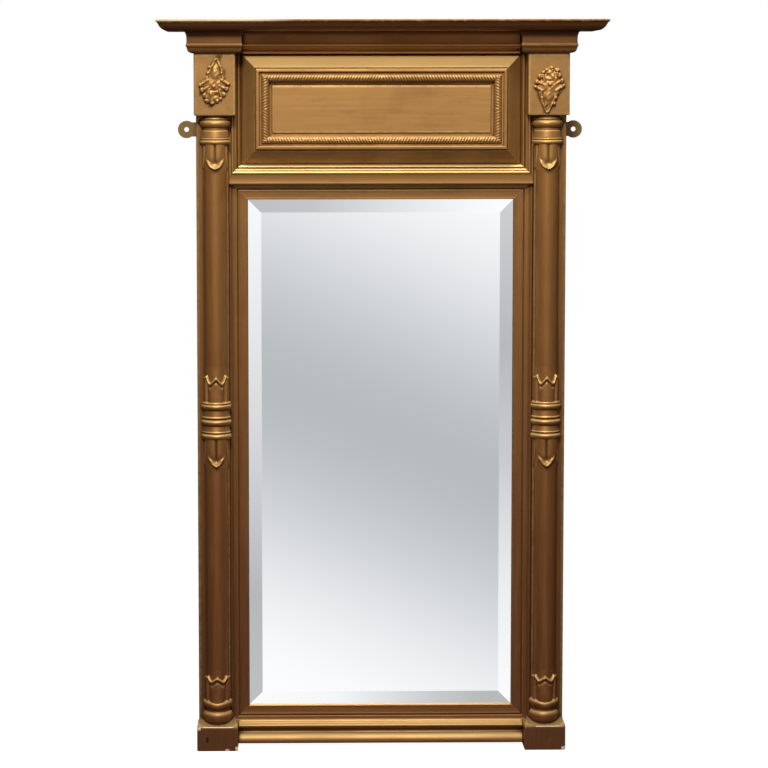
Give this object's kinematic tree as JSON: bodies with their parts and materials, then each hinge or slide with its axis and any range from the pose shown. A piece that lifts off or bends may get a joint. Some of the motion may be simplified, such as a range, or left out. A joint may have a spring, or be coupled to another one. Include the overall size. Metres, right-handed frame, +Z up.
{
  "type": "pier mirror",
  "caption": "Tall bevelled wall mirror in a gilded wooden frame with half columns, a panelled frieze and a projecting cornice.",
  "frame": {"origin": "centre of the bounding box on the plane that the base blocks stand on", "axes": "+Z up, the front with the mirror faces -Y, +X to the right seen from the front"},
  "size_m": [0.836, 0.15, 1.379],
  "materials": {
    "bright_gilt": "gold paint over gesso, lightly worn",
    "dark_gilt": "gold paint over gesso, toned brown with age",
    "bare_wood": "bare softwood, dusty and darkened",
    "mirror_plate": "bevelled silvered plate glass",
    "ears": "steel plate, painted over with the frame",
    "screws": "dull steel"
  },
  "bodies": {
    "root": {"backboard_1": "bare_wood", "backboard_2": "bare_wood", "base_block_left": "dark_gilt", "base_block_right": "dark_gilt", "bed_block_left": "bright_gilt", "bed_block_right": "bright_gilt", "bed_middle": "bright_gilt", "capital_left": "bright_gilt", "capital_right": "bright_gilt", "collar_left": "dark_gilt", "collar_right": "dark_gilt", "column_base_left": "dark_gilt", "column_base_right": "dark_gilt", "corner_block_left": "bright_gilt", "corner_block_right": "bright_gilt", "cornice_core": "bare_wood", "corona_front": "bright_gilt", "corona_return_left": "bright_gilt", "corona_return_right": "bright_gilt", "ear_left": "ears", "ear_right": "ears", "ear_screw_left_1": "screws", "ear_screw_left_2": "screws", "ear_screw_right_1": "screws", "ear_screw_right_2": "screws", "frieze_border_bottom": "bright_gilt", "frieze_border_left": "bright_gilt", "frieze_border_right": "bright_gilt", "frieze_ground": "bright_gilt", "frieze_slope_bottom": "bright_gilt", "frieze_slope_left": "bright_gilt", "frieze_slope_right": "bright_gilt", "frieze_slope_top": "bright_gilt", "lower_shaft_left": "dark_gilt", "lower_shaft_right": "dark_gilt", "mirror_plate": "mirror_plate", "ornament_left": "bright_gilt", "ornament_right": "bright_gilt", "pilaster_left": "dark_gilt", "pilaster_right": "dark_gilt", "plate_batten_left": "bare_wood", "plate_batten_right": "bare_wood", "rail_bottom": "bare_wood", "rail_middle": "bare_wood", "rail_moulding": "dark_gilt", "rail_top": "bare_wood", "sight_moulding_bottom": "dark_gilt", "sight_moulding_left": "dark_gilt", "sight_moulding_right": "dark_gilt", "sight_moulding_top": "dark_gilt", "stile_left": "bare_wood", "stile_right": "bare_wood", "tablet_moulding_bottom": "bright_gilt", "tablet_moulding_left": "bright_gilt", "tablet_moulding_right": "bright_gilt", "tablet_moulding_top": "bright_gilt", "tablet_panel": "bright_gilt", "top_board": "bare_wood", "upper_shaft_left": "dark_gilt", "upper_shaft_right": "dark_gilt"}
  },
  "joints": []
}
